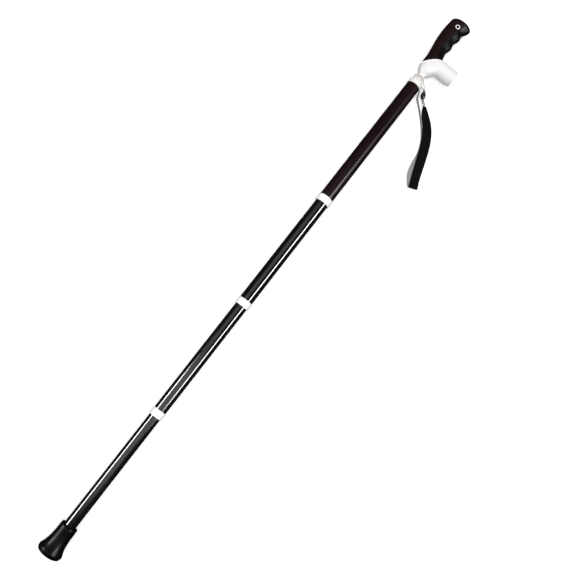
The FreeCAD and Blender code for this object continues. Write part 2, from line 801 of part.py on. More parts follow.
def end_oval(name, inset, start, end):
    """A plate of the grip's end section, pulled in by inset, measured from the grip's end."""
    reach, top, bottom, half = GRIP_SECTIONS[-1]
    oval = doc.addObject("Part::Ellipse", name + "_oval")
    oval.setExpression("MajorRadius", f"{(top - bottom) / 2} - ({inset})")
    oval.setExpression("MinorRadius", f"{half} - ({inset})")
    cyclic = FreeCAD.Rotation(FreeCAD.Vector(1, 1, 1), 120)
    oval.Placement = FreeCAD.Placement(FreeCAD.Vector(0, (top + bottom) / 2, 0), cyclic)
    oval.setExpression("Placement.Base.x", plus(ELBOW, size("grip_reach"), start))
    plate = doc.addObject("Part::Extrusion", name)
    plate.Base = oval
    plate.Dir = FreeCAD.Vector(1, 0, 0)
    plate.DirMode = "Custom"
    plate.Solid = True
    plate.setExpression("LengthFwd", minus(end, start))
    return plate


def half_space(name, low):
    """A big box round the grip, from low upwards by its own height."""
    box = doc.addObject("Part::Box", name)
    box.Length, box.Width, box.Height = 200, 200, 100
    box.Placement = FreeCAD.Placement(FreeCAD.Vector(0, -100, low), FreeCAD.Rotation())
    box.setExpression("Placement.Base.x", minus(ELBOW, "50"))
    return box


def grip(nut):
    """Core, shell, finger pad and the strip between them: a pale inlay below, dark piping above."""
    seat_floor = minus(size("end_cap_proud"), size("end_cap_thick"))
    seat = end_oval("cap_seat_plate", size("end_cap_inset"), seat_floor, "5")
    keep_out = joined("grip_cuts", box_beyond("grip_seam_cut", SEAM_FACE, forward=False), seat)
    form = cut("grip_whole", grip_form("grip_form", "0"), keep_out)
    inner = grip_form("grip_inner_form", size("grip_skin"))
    skin = cut("grip_skin", form, inner)
    pad_zone = wave_zone("pad_zone", size("inlay_width"))
    line_zone = wave_zone("line_zone", "0")
    keep("finger_pad", common("finger_pad", skin, pad_zone))
    keep("grip_shell", cut("grip_shell", skin, line_zone))
    strip = cut("grip_strip", common("grip_lower", skin, line_zone), pad_zone)
    keep("grip_inlay", common("grip_inlay", strip, half_space("below", -100)))
    keep("grip_piping", common("grip_piping", strip, half_space("above", 0)))
    hole = along_pivot("core_hole", rod_outline(("0", None), ("12", size("pivot_radius"))))
    core = common("core_whole", form, inner)
    keep("grip_core", cut("grip_core", core, joined("core_cuts", hole, nut)))


def end_cap():
    """White oval plug in the grip's end, with a sunk disc."""
    proud, inset = size("end_cap_proud"), size("end_disc_inset")
    floor = minus(proud, size("end_cap_thick"))
    disc_floor = minus(proud, size("end_disc_thick"), "0.4")
    plate = end_oval("cap_plate", size("end_cap_inset"), floor, proud)
    recess = end_oval("cap_recess", inset, disc_floor, plus(proud, "1"))
    keep("grip_end_cap", cut("grip_end_cap", plate, recess))
    keep("end_cap_disc", end_oval("end_cap_disc", inset, disc_floor, minus(proud, "0.4")))


def route(points):
    """Straight runs joined by tangent arcs, each as large as its two runs allow."""
    corners = [FreeCAD.Vector(*point) for point in points]
    edges, start, radii = [], corners[0], []
    for before, corner, after in zip(corners, corners[1:], corners[2:]):
        back, ahead = before - corner, after - corner
        turn = math.pi - back.getAngle(ahead)
        reach = 0.45 * min(back.Length, ahead.Length)
        radii.append(reach / math.tan(turn / 2))
        entry = corner + FreeCAD.Vector(back).normalize() * reach
        leave = corner + FreeCAD.Vector(ahead).normalize() * reach
        bisector = (FreeCAD.Vector(back).normalize() + FreeCAD.Vector(ahead).normalize()).normalize()
        inside = radii[-1] / math.cos(turn / 2) - radii[-1]
        edges.append(Part.LineSegment(start, entry).toShape())
        edges.append(Part.Arc(entry, corner + bisector * inside, leave).toShape())
        start = leave
    edges.append(Part.LineSegment(start, corners[-1]).toShape())
    return Part.Wire(edges), radii


def swept(name, points, section_of, area):
    """Sweep a section along a route and check its volume."""
    wire, radii = route(points)
    first = FreeCAD.Vector(*points[1]) - FreeCAD.Vector(*points[0])
    section = section_of(FreeCAD.Vector(*points[0]), first.normalize())
    solid = wire.makePipeShell([section], True, False)
    share = solid.Volume / (area * wire.Length)
    print(f"{name}: length {wire.Length:.1f} mm, volume over section times length {share:.3f}")
    print(f"{name}: radii {[round(r, 1) for r in radii]}")
    return solid


def flat_section(width, thick):
    """A rectangle across the way, width in the surface's plane and thick upwards from it."""

    def section_of(start, way):
        side = FreeCAD.Vector(-way.y, way.x, 0) * (width / 2)
        up = FreeCAD.Vector(0, 0, thick)
        corners = [start - side, start + side, start + side + up, start - side + up]
        return Part.makePolygon([*corners, corners[0]])

    return section_of


def band(name, plan, height, width, thick):
    points = [(x, y, height) for x, y in plan]
    return swept(name, points, flat_section(width, thick), width * thick)


def strap_webbing():
    """Loop of webbing: a flat front strand over a back strand that stands on edge at the top."""
    width, thick = value(size("strap_width")), value(size("strap_thick"))
    floor = -value(size("strap_floor"))
    lift = value(size("strap_lift"))
    edge_height = value(size("strap_edge_height"))
    front = band("front strand", FRONT_STRAND, floor + lift, width, thick)
    back = band("back strand", BACK_FLAT_STRAND, floor, width, thick)
    edge = band("back strand on edge", BACK_EDGE_STRAND, floor, thick, edge_height)
    end, before = (FreeCAD.Vector(*FRONT_STRAND[i], 0) for i in (-1, -2))
    way = (end - before).normalize()
    side = FreeCAD.Vector(-way.y, way.x, 0)
    near = FreeCAD.Vector(*BACK_FLAT_STRAND[-1], floor) - way * 2 + side * (width / 2 - 3)
    corners = [
        near,
        near + way * 4.5,
        near + way * 4.5 - side * (width + 3),
        near - side * (width + 3),
    ]
    fold = Part.Face(Part.makePolygon([*corners, corners[0]])).extrude(
        FreeCAD.Vector(0, 0, lift + thick)
    )
    feature = doc.addObject("Part::Feature", "strap_webbing")
    feature.Shape = front.fuse([back, edge, fold]).removeSplitter()
    feature.Placement = FreeCAD.Placement(FreeCAD.Vector(value(ELBOW), 0, 0), FreeCAD.Rotation())
    keep("strap_webbing", feature)


def neck_cord():
    radius = value(size("neck_cord_radius"))

    def round_section(start, way):
        return Part.Wire([Part.makeCircle(radius, start, way)])

    feature = doc.addObject("Part::Feature", "strap_cord")
    area = math.pi * radius * radius
    feature.Shape = swept("strap_cord", NECK_CORD_POINTS, round_section, area)
    feature.Placement = FreeCAD.Placement(FreeCAD.Vector(value(ELBOW), 0, 0), FreeCAD.Rotation())
    keep("strap_cord", feature)


def strap_fittings():
    crimp = rod_outline(("0", None), ("2.8", size("crimp_radius")))
    place = (plus(ELBOW, "-40.5"), "-17.6", "-8.9")
    keep("strap_crimp", turned_body("strap_crimp", crimp, place, (-3.2, -1.2, -0.2)))
    half, radius = size("bead_half_length"), size("bead_radius")
    dome = f"(({half})^2 + ({radius})^2) / (2 * ({radius}))"
    bead = (
        ("0", "0"),
        ("0", f"{radius} * 0.45", f"{dome} * 0.8"),
        (half, radius, f"{dome} * 0.8"),
        (f"2 * {half}", f"{radius} * 0.45"),
        (f"2 * {half}", "0"),
    )
    place = (plus(ELBOW, "-43.7"), "-18.6", "-9.1")
    keep("strap_bead", turned_body("strap_bead", bead, place, (-9.6, -5.0, -0.5)))
    sleeve = rod_outline(("0", None), ("10.2", size("sleeve_radius")))
    place = (plus(ELBOW, "-53.8"), "-24.2", "-10.0")
    keep("strap_sleeve", turned_body("strap_sleeve", sleeve, place, (-6.8, -8.2, -0.8)))


def check_document():
    doc.recompute()
    for item in doc.Objects:
        if "Invalid" in item.State or "Error" in item.State:
            raise RuntimeError(f"{item.Label} failed: {item.State}")
    for name, item in nodes.items():
        if item.Shape.isNull() or not item.Shape.isValid() or not item.Shape.Solids:
            raise RuntimeError(f"{name} has no valid solid")


def write_parts():
    os.makedirs("parts", exist_ok=True)
    for name, item in nodes.items():
        item.Shape.exportStep(os.path.join("parts", f"{name}.step"))
        print(f"{name}: {len(item.Shape.Solids)} solid(s), {item.Shape.Volume:.0f} mm3")


def main():
    fill_sheet()
    foot()
    foot_inside()
    tubes()
    telescoping_joints()
    neck_parts()
    handle_body()
    swivel_ring()
    nut = pivot_parts()
    detent_parts()
    grip(nut)
    end_cap()
    neck_cord()
    strap_fittings()
    strap_webbing()
    check_document()
    write_parts()


main()
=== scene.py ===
import math

import bmesh
import bpy
from mathutils import Matrix, Vector


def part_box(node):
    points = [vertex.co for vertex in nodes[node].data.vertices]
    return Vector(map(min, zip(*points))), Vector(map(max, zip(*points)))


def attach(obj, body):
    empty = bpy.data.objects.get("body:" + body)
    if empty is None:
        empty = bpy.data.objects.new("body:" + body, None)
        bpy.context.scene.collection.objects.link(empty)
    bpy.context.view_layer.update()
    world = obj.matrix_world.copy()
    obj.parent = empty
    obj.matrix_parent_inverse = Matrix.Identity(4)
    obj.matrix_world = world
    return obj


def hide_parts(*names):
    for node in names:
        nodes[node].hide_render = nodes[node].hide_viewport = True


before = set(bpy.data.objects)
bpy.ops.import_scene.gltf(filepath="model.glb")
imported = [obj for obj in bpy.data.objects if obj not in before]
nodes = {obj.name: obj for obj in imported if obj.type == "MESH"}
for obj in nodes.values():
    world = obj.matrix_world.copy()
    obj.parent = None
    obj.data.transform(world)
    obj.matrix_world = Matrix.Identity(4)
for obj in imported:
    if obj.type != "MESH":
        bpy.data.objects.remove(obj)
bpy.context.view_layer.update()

MM = 0.001

# ---------------------------------------------------------------- camera

camera_data = bpy.data.cameras.new("camera")
camera_data.sensor_width = 36.0
camera_data.lens = 43.467
camera = bpy.data.objects.new("camera", camera_data)
bpy.context.collection.objects.link(camera)
camera.location = (0.31097, -0.03450, 0.99197)
camera.rotation_euler = (0.13445, -0.10621, -0.92076)
bpy.context.scene.camera = camera

# ---------------------------------------------------------------- measures from the frame

# Shapes on the handle, the grip and the strap are in millimetres from the elbow.
ELBOW_X = 0.902
BASE_X = (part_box("top_collar")[1][0] - ELBOW_X) / MM
GRIP_LENGTH = (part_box("grip_shell")[1][0] - ELBOW_X) / MM
# The swivel centre lies this far below the elbow, on the seam's plane, which is square to SEAM_NORMAL.
SETBACK = 4.0
SEAM_NORMAL = Vector((1, 1, 0)).normalized()


# ---------------------------------------------------------------- materials

class Nodes:
    """Short hand for building one material's node tree."""

    def __init__(self, name):
        self.material = bpy.data.materials.new(name)
        self.material.use_nodes = True
        self.tree = self.material.node_tree
        self.shader = self.tree.nodes["Principled BSDF"]
        self.place = self.tree.nodes.new("ShaderNodeTexCoord")

    def add(self, kind, **settings):
        node = self.tree.nodes.new(kind)
        for key, number in settings.items():
            if key in node.inputs:
                node.inputs[key].default_value = number
            else:
                setattr(node, key, number)
        return node

    def link(self, start, end):
        self.tree.links.new(start, end)

    def coords(self, scale, source="Object"):
        mapping = self.add("ShaderNodeMapping")
        mapping.inputs["Scale"].default_value = scale
        self.link(self.place.outputs[source], mapping.inputs["Vector"])
        return mapping.outputs["Vector"]

    def noise(self, scale, stretch=(1, 1, 1), detail=3.0, rough=0.55, source="Object"):
        node = self.add("ShaderNodeTexNoise", Scale=scale, Detail=detail, Roughness=rough)
        self.link(self.coords(stretch, source), node.inputs["Vector"])
        return node.outputs["Fac"]

    def spread(self, value, low, high, start=0.3, end=0.7):
        node = self.add("ShaderNodeMapRange")
        for key, number in zip(("From Min", "From Max", "To Min", "To Max"), (start, end, low, high)):
            node.inputs[key].default_value = number
        self.link(value, node.inputs["Value"])
        return node.outputs["Result"]

    def ramp(self, value, stops):
        node = self.add("ShaderNodeValToRGB")
        elements = node.color_ramp.elements
        while len(elements) < len(stops):
            elements.new(0.5)
        for element, (at, colour) in zip(elements, stops):
            element.position = at
            element.color = (*colour, 1.0)
        self.link(value, node.inputs["Fac"])
        return node.outputs["Color"]

    def combine(self, kind, first, second):
        node = self.add("ShaderNodeMath", operation=kind)
        for socket, item in zip(node.inputs, (first, second)):
            if isinstance(item, (int, float)):
                socket.default_value = item
            else:
                self.link(item, socket)
        return node.outputs[0]

    def bump(self, height, strength, distance, under=None):
        node = self.add("ShaderNodeBump", Strength=strength, Distance=distance)
        self.link(height, node.inputs["Height"])
        if under is not None:
            self.link(under, node.inputs["Normal"])
        return node.outputs["Normal"]

    def finish(self, colour=None, roughness=None, normal=None, **fixed):
        for name, socket in (("Base Color", colour), ("Roughness", roughness), ("Normal", normal)):
            if socket is not None:
                self.link(socket, self.shader.inputs[name])
        for name, number in fixed.items():
            self.shader.inputs[name.replace("_", " ")].default_value = number
        return self.material


def shade(colour, factor):
    return tuple(min(1.0, c * factor) for c in colour)


def tube_material(name, colour, low, high, specular):
    """Glossy anodised tube: fine drawn lines along the shaft, faint handling marks."""
    n = Nodes(name)
    drawn = n.noise(900.0, (0.02, 1, 1), 4.0)
    marks = n.noise(35.0, (0.4, 1, 1), 5.0)
    tone = n.ramp(n.combine("MULTIPLY", drawn, marks),
                  [(0.1, shade(colour, 0.75)), (0.45, shade(colour, 1.35))])
    rough = n.spread(marks, low, high)
    normal = n.bump(drawn, 0.04, 0.00002)
    return n.finish(tone, rough, normal, Specular_IOR_Level=specular, Coat_Weight=0.0)


def plastic(name, colour, low, high, warm=None, pitch=260.0, depth=0.1, coat=0.3, specular=0.5):
    """Moulded plastic: slight mottling, a very fine surface texture."""
    n = Nodes(name)
    cloud = n.noise(45.0, detail=4.0)
    fine = n.noise(pitch * 10, detail=2.0)
    tone = n.ramp(cloud, [(0.25, shade(colour, 0.96)), (0.5, colour),
                          (0.8, warm or shade(colour, 1.03))])
    rough = n.spread(n.noise(160.0, detail=5.0), low, high)
    normal = n.bump(fine, depth, 0.00005)
    return n.finish(tone, rough, normal, Specular_IOR_Level=specular,
                    Coat_Weight=coat, Coat_Roughness=0.08)


def rubber(name, colour, low, high, specular=0.5, pores=2600.0, depth=0.25):
    """Rubber: pores, and dust that is paler and rougher in patches."""
    n = Nodes(name)
    dust = n.noise(70.0, detail=6.0, rough=0.7)
    fine = n.noise(pores, detail=3.0)
    tone = n.ramp(dust, [(0.3, shade(colour, 0.8)), (0.55, colour), (0.85, shade(colour, 1.7))])
    rough = n.spread(dust, low, high)
    normal = n.bump(fine, depth, 0.00006, n.bump(dust, 0.08, 0.0003))
    return n.finish(tone, rough, normal, Specular_IOR_Level=specular)


def metal(name, colour, low, high, stretch):
    """Bright metal with fine scratches, drawn out where stretch is small."""
    n = Nodes(name)
    scratch = n.noise(1400.0, stretch, 3.0)
    tone = n.ramp(n.noise(90.0), [(0.3, shade(colour, 0.85)), (0.7, colour)])
    return n.finish(tone, n.spread(scratch, low, high), n.bump(scratch, 0.15, 0.00003), Metallic=1.0)


WARP_PITCH, PICK_PITCH = 0.0011, 0.0014


def webbing_material(name, colour, light, sheen):
    """Plain weave from the strap's own length and width: warp ribs crossed by picks."""
    n = Nodes(name)
    uv = n.add("ShaderNodeSeparateXYZ")
    n.link(n.coords((1, 1, 1), "UV"), uv.inputs["Vector"])
    warp = n.combine("SINE", n.combine("MULTIPLY", uv.outputs["X"], math.tau / WARP_PITCH), 0.0)
    picks = n.combine("SINE", n.combine("MULTIPLY", uv.outputs["Y"], math.tau / PICK_PITCH), 0.0)
    weave = n.combine("MULTIPLY", warp, picks)
    height = n.combine("ADD", n.combine("MULTIPLY", weave, 0.5), n.combine("MULTIPLY", warp, 0.35))
    fuzz = n.noise(900.0, detail=4.0)
    tone = n.ramp(n.spread(n.combine("ADD", height, fuzz), 0.0, 1.0, -0.6, 1.7),
                  [(0.1, shade(colour, 0.5)), (0.55, colour), (0.95, light)])
    normal = n.bump(height, 0.5, 0.00012, n.bump(fuzz, 0.3, 0.0001))
    return n.finish(tone, n.spread(fuzz, 0.7, 0.95), normal,
                    Sheen_Weight=sheen, Sheen_Roughness=0.4, Specular_IOR_Level=0.05)


def cord_material(name, colour, light):
    """Fine braid: crossing diagonals along the cord."""
    n = Nodes(name)
    wave = n.add("ShaderNodeTexWave", Scale=420.0, Distortion=1.5, bands_direction="DIAGONAL")
    n.link(n.coords((1, 1, 1)), wave.inputs["Vector"])
    fuzz = n.noise(1500.0)
    tone = n.ramp(wave.outputs["Fac"], [(0.2, shade(colour, 0.6)), (0.6, colour), (0.95, light)])
    normal = n.bump(wave.outputs["Fac"], 0.6, 0.00015, n.bump(fuzz, 0.2, 0.00008))
    return n.finish(tone, n.spread(fuzz, 0.6, 0.9), normal, Sheen_Weight=0.2, Specular_IOR_Level=0.3)


BROWN_BLACK = (0.0085, 0.0032, 0.0036)
BLACK = (0.0030, 0.0030, 0.0036)
WHITE = (0.70, 0.69, 0.68)

looks = {
    "upper": tube_material("anodised_brown_black", BROWN_BLACK, 0.22, 0.34, 0.16),
    "tube": tube_material("anodised_black", BLACK, 0.10, 0.18, 0.5),
    "white": plastic("white_gloss_plastic", WHITE, 0.38, 0.5, (0.73, 0.705, 0.69),
                     coat=0.05, specular=0.35),
    "collar": plastic("white_collar_plastic", (0.88, 0.88, 0.88), 0.28, 0.42),
    "foot": rubber("foot_rubber", (0.0012, 0.0013, 0.0016), 0.26, 0.38, 0.08, depth=0.08),
    "shell": plastic("grip_shell_plastic", (0.0100, 0.0036, 0.0038), 0.42, 0.55,
                     pitch=180.0, depth=0.3, coat=0.0, specular=0.10),
    "pad": rubber("grip_pad_rubber", (0.0024, 0.0023, 0.0026), 0.30, 0.42, 0.13, depth=0.12),
    "core": plastic("core_nylon", (0.05, 0.05, 0.053), 0.5, 0.65, coat=0.0),
    "bearing": plastic("bearing_acetal", (0.72, 0.71, 0.66), 0.4, 0.55, coat=0.0),
    "steel": metal("zinc_plated_steel", (0.62, 0.62, 0.64), 0.22, 0.4, (0.1, 1, 1)),
    "crimp": metal("pale_brass", (0.72, 0.66, 0.55), 0.22, 0.4, (1, 1, 0.1)),
    "bead": plastic("bead_black_plastic", (0.006, 0.006, 0.007), 0.12, 0.25, coat=0.5),
    "webbing": webbing_material("webbing_black", (0.0012, 0.0012, 0.0013),
                                (0.0032, 0.0032, 0.0034), 0.0),
    # Back strand: black webbing painted mid grey all over, a painted sheen standing for glancing light on
    # black nylon.
    "sheen_painted_webbing": webbing_material("webbing_painted_sheen", (0.26, 0.255, 0.245),
                               (0.40, 0.395, 0.38), 0.15),
    "cord": cord_material("cord_grey", (0.50, 0.47, 0.44), (0.70, 0.67, 0.63)),
}


def paint(obj, look):
    obj.data.materials.clear()
    obj.data.materials.append(looks[look])


NODE_LOOKS = {
    "upper_tube": "upper", "second_tube": "tube", "third_tube": "tube", "lower_tube": "tube",
    "collar_1": "collar", "collar_2": "collar", "collar_3": "collar", "top_collar": "white",
    "handle_body": "white", "snout_cap": "white", "swivel_ring": "collar",
    "grip_end_cap": "collar", "end_cap_disc": "collar", "grip_inlay": "collar",
    "grip_shell": "shell", "grip_piping": "pad", "finger_pad": "pad",
    "foot_ferrule": "foot", "foot_washer": "steel",
    "neck_bolt": "steel", "pivot_bolt": "steel", "pivot_nut": "steel", "spring_washers": "steel",
    "detent_ball": "steel", "detent_spring": "steel", "strap_crimp": "crimp", "strap_sleeve": "crimp",
    "strap_bead": "bead", "strap_cord": "cord", "strap_webbing": "webbing",
}
for name, node in nodes.items():
    fallback = "bearing" if name.startswith(("collet", "liner", "guide")) else "core"
    paint(node, NODE_LOOKS.get(name, fallback))

# ---------------------------------------------------------------- curves and tables

def table_value(table, at, column=1):
    """Smooth value of a table's column at a place, flat beyond its ends."""
    if at <= table[0][0]:
        return table[0][column]
    if at >= table[-1][0]:
        return table[-1][column]
    i = max(k for k in range(len(table) - 1) if table[k][0] <= at)
    before, start, end, after = (
        table[min(max(k, 0), len(table) - 1)] for k in (i - 1, i, i + 1, i + 2)
    )
    span = end[0] - start[0]
    t = (at - start[0]) / span
    slope_in = (end[column] - before[column]) / max(end[0] - before[0], 1e-6)
    slope_out = (after[column] - start[column]) / max(after[0] - start[0], 1e-6)
    return (
        (2 * t**3 - 3 * t**2 + 1) * start[column]
        + (t**3 - 2 * t**2 + t) * span * slope_in
        + (3 * t**2 - 2 * t**3) * end[column]
        + (t**3 - t**2) * span * slope_out
    )


def from_elbow(point):
    """A point in millimetres from the elbow, in the frame's metres."""
    return Vector((ELBOW_X + point[0] * MM, point[1] * MM, point[2] * MM))


def new_object(name, mesh, body, look, slot, *replaced):
    """Put a finished mesh in the scene as a piece that rides on a body."""
    obj = bpy.data.objects.new(name, mesh)
    bpy.context.collection.objects.link(obj)
    mesh.shade_smooth()
    paint(obj, look)
    if replaced:
        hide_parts(*replaced)
    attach(obj, body)
    return obj


def mesh_from(name, bm, sharp=40.0):
    """Close a bmesh off as a mesh with outward normals and sharp edges marked by angle."""
    bmesh.ops.recalc_face_normals(bm, faces=bm.faces)
    limit = math.radians(sharp)
    for edge in bm.edges:
        if len(edge.link_faces) == 2 and edge.calc_face_angle(0.0) > limit:
            edge.smooth = False
    mesh = bpy.data.meshes.new(name)
    bm.to_mesh(mesh)
    bm.free()
    return mesh


def grid_faces(bm, rows, close_around):
    """Quads between rows of vertices; close_around joins each row's last vertex to its first."""
    for row, following in zip(rows, rows[1:]):
        count = len(row)
        for k in range(count if close_around else count - 1):
            after = (k + 1) % count
            bm.faces.new((row[k], row[after], following[after], following[k]))


def closed_tube(bm, rows):
    """Skin over rings of vertices, with one face over each end."""
    grid_faces(bm, rows, True)
    bm.faces.new(rows[0])
    bm.faces.new(list(reversed(rows[-1])))


def to_metres(bm):
    bmesh.ops.scale(bm, vec=(MM, MM, MM), verts=bm.verts)


def to_frame(bm):
    """Turn millimetres from the elbow into the frame's metres."""
    to_metres(bm)
    bmesh.ops.translate(bm, vec=(ELBOW_X, 0, 0), verts=bm.verts)


def clamp(share):
    return min(1.0, max(0.0, share))


# ---------------------------------------------------------------- neck cord and strap

NECK_CORD_POINTS = (
    (-39.8, -16.7, -7.9), (-37.2, -11.0, -0.2), (-35.0, -4.8, 8.3), (-35.0, 2.9, 9.2), (-35.0, 8.6, 4.2),
    (-35.0, 9.0, -3.5), (-35.1, 3.6, -9.0), (-36.8, -4.0, -9.7), (-38.1, -10.8, -9.5), (-39.9, -16.9, -9.9),
)
NECK_CORD_DIAMETER = 0.0014
STRAP_WIDTH = 0.014
FRONT_STRAND = (
    (-60.7, -32.8, -11.4), (-73.5, -43.4, -10.4), (-87.0, -56.2, -9.2), (-102.5, -66.2, -8.8),
    (-120.0, -73.6, -9.2), (-138.5, -80.4, -10.4), (-158.5, -87.0, -11.3), (-177.5, -94.6, -11.6),
)
BACK_STRAND = (
    (-44.9, -12.6, -10.6), (-55.0, -14.0, -10.9), (-62.9, -22.0, -11.0), (-74.6, -34.4, -11.0),
    (-89.0, -47.4, -11.1), (-104.0, -60.8, -12.2), (-118.0, -69.5, -12.8), (-132.0, -74.5, -12.9),
    (-146.0, -76.6, -12.9), (-158.0, -78.8, -12.9), (-168.5, -85.0, -12.9), (-176.5, -92.5, -12.9),
)


def nurbs(name, points, diameter):
    """A smooth curve with the route's points as its control points."""
    data = bpy.data.curves.new(name, "CURVE")
    data.dimensions = "3D"
    data.resolution_u = 16
    data.bevel_depth = diameter / 2
    data.bevel_resolution = 5
    spline = data.splines.new("NURBS")
    spline.points.add(len(points) - 1)
    for target, point in zip(spline.points, points):
        target.co = (*from_elbow(point), 1.0)
    spline.order_u = 3
    spline.use_endpoint_u = True
    return bpy.data.objects.new(name, data)


def centre_points(name, points):
    """Points down a route's smooth curve, and the distance along it to each."""
    bare = nurbs(name + "_route", points, 0.0)
    mesh = bpy.data.meshes.new_from_object(bare)
    line = [v.co.copy() for v in mesh.vertices]
    bpy.data.meshes.remove(mesh)
    bpy.data.curves.remove(bare.data)
    along = [0.0]
    for before, after in zip(line, line[1:]):
        along.append(along[-1] + (after - before).length)
    return line, along


neck_cord = nurbs("neck_cord", NECK_CORD_POINTS, NECK_CORD_DIAMETER)
bpy.context.collection.objects.link(neck_cord)
neck_cord.data.materials.append(looks["cord"])
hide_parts("strap_cord")
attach(neck_cord, "handle")

# The webbing's ribbed section: share of half the width, share of half the thickness.
RIBS, RIB_POINTS, RIB_DEPTH, SELVEDGE = 9, 4, 0.16, 0.35
RIBBED_FACE = [
    (-1.0 + 2.0 * k / (RIBS * RIB_POINTS),
     1.0 - RIB_DEPTH * (1 - math.cos(math.tau * k / RIB_POINTS)) / 2)
    for k in range(RIBS * RIB_POINTS + 1)
]
RIBBED_FACE[0] = (-1.0, SELVEDGE)
RIBBED_FACE[-1] = (1.0, SELVEDGE)
WEB_SECTION = RIBBED_FACE + [(u, -v) for u, v in reversed(RIBBED_FACE)]


def lay_weave(bm, places):
    """Give the weave each vertex's place across and along the webbing."""
    bm.verts.index_update()
    layer = bm.loops.layers.uv.new("weave")
    for face in bm.faces:
        for loop in face.loops:
            loop[layer].uv = places[loop.vert.index]


def ribbon(name, points, width_at, thick_at, turn_at, look, slot):
    """Webbing along a route, with widths in metres and turns in radians by share of the way."""
    line, along = centre_points(name, points)
    bm = bmesh.new()
    weave_places, rows = [], []
    for i, (place, distance) in enumerate(zip(line, along)):
        way = (line[min(i + 1, len(line) - 1)] - line[max(i - 1, 0)]).normalized()
        share = distance / along[-1]
        level = Vector((-way.y, way.x, 0.0)).normalized()
        side = Matrix.Rotation(turn_at(share), 3, way) @ level
        up = way.cross(side)
        half, thick = width_at(share) / 2, thick_at(share) / 2
        rows.append([
            bm.verts.new(place + side * (u * half) + up * (v * thick)) for u, v in WEB_SECTION
        ])
        weave_places += [(u * STRAP_WIDTH / 2, distance) for u, _ in WEB_SECTION]
    closed_tube(bm, rows)
    lay_weave(bm, weave_places)
    obj = new_object(name, mesh_from(name, bm), "handle", look, slot)
    return obj, [list(p) for p in line], along[-1]


def front_width(share):
    """Gathered in the sleeve, opening to the full width, a little fuller half way."""
    in_sleeve, gathered_to, swell = 0.0048, 0.24, 0.0012
    opening = math.sin(min(1.0, share / gathered_to) * math.pi / 2) ** 0.8
    fuller = math.sin(math.pi * clamp((share - 0.1) / 0.8)) * swell
    return in_sleeve + (STRAP_WIDTH - in_sleeve) * opening + fuller


def front_thick(share):
    """Bunched up near the sleeve."""
    flat, bunch, bunched_to = 0.0013, 0.0014, 0.16
    return flat + bunch * max(0.0, 1.0 - share / bunched_to)


def back_turn(share):
    """On edge from the sleeve on, then twisting to lie flat under the front strand."""
    flat_from, on_edge_to, on_edge = 0.53, 0.37, math.radians(84)
    t = clamp((flat_from - share) / (flat_from - on_edge_to))
    return on_edge * t * t * (3 - 2 * t)


def back_width(share):
    """Folded in where it stands on edge, full width where it lies flat."""
    folded, opens_from, opens_over = 0.36, 0.48, 0.26
    return STRAP_WIDTH * (folded + (1 - folded) * clamp((share - opens_from) / opens_over))


BACK_THICK = 0.0011


strap_front, front_line, front_length = ribbon(
    "strap_front", FRONT_STRAND, front_width, front_thick, lambda share: 0.0, "webbing", "webbing_fibre")
# The back strand takes the grey painted-sheen webbing; the real webbing is black on both strands.
strap_back, back_line, back_length = ribbon(
    "strap_back", BACK_STRAND, back_width, lambda share: BACK_THICK, back_turn, "sheen_painted_webbing", "webbing_fibre")
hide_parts("strap_webbing")


def hem():
    """Folded and stitched end that joins the two strands."""
    bm = bmesh.new()
    end, before = Vector(FRONT_STRAND[-1]), Vector(FRONT_STRAND[-2])
    way = (end - before).normalized()
    side = Vector((-way.y, way.x, 0.0))
    past_strand, off_centre = 1.0, 0.2
    tip = end + way * past_strand + side * off_centre
    length, width, low, high = 9.5, 14.6, -13.3, -10.55
    # Rows of stitches run at this share of the way from the middle to each edge.
    stitch_line, stitch_reach, stitch_depth = 0.72, 0.05, 0.16
    steps = 40
    rows, weave_places = [], []
    for i in range(steps + 1):
        share = i / steps
        lengthways = abs(2 * share - 1)
        rounded = math.sqrt(max(0.0, 1.0 - lengthways ** 8))
        row = []
        for u, v in WEB_SECTION:
            near_stitches = min(abs(abs(u) - stitch_line), abs(lengthways - stitch_line)) < stitch_reach
            thick = (high - low) / 2 - (stitch_depth if near_stitches else 0.0)
            height = (low + high) / 2 + v * max(SELVEDGE, rounded) * thick
            across = u * width / 2 * (0.93 + 0.07 * rounded)
            point = tip - way * length * (1 - share) + side * across
            row.append(bm.verts.new(from_elbow((point.x, point.y, height))))
            weave_places.append((u * STRAP_WIDTH / 2, i * length * MM / steps))
        rows.append(row)
    closed_tube(bm, rows)
    lay_weave(bm, weave_places)
    return new_object("strap_hem", mesh_from("strap_hem", bm), "handle", "webbing", "webbing_fibre")


strap_hem = hem()

# ---------------------------------------------------------------- foot

# Outline from the ground face up, over the rim and down into the cup: distance, radius.
FOOT_OUTLINE = (
    (0.35, 14.6), (0.9, 15.9), (2.0, 16.95), (3.0, 17.45), (3.35, 17.25), (3.7, 17.55), (4.6, 17.9),
    (6.0, 18.05), (7.0, 17.95), (7.35, 17.6), (7.7, 17.7), (9.0, 17.15), (11.0, 16.2), (13.5, 15.2),
    (17.0, 14.2), (21.0, 13.4), (26.0, 12.8), (31.0, 12.5), (37.0, 12.4), (42.0, 12.4),
    (44.4, 12.35), (45.4, 12.05), (45.9, 11.6), (46.0, 11.3), (45.8, 10.8), (45.2, 10.5),
    (43.0, 10.3), (39.5, 10.2), (38.6, 9.6), (38.4, 8.72),
)
# Grooves in the ground face: inner radius, outer radius.
TREAD_GROOVES = ((2.6, 3.0), (4.6, 5.0), (6.6, 7.0), (9.4, 10.6))
TREAD_DEPTH, TREAD_BEVEL = 0.9, 0.25
GROUND_FACE_RADIUS = 13.6
# The rim dips at two opposite sides, more and more from here up.
DIP_FROM, DIP_OVER, DIP_DEPTH = 30.0, 16.0, 1.9


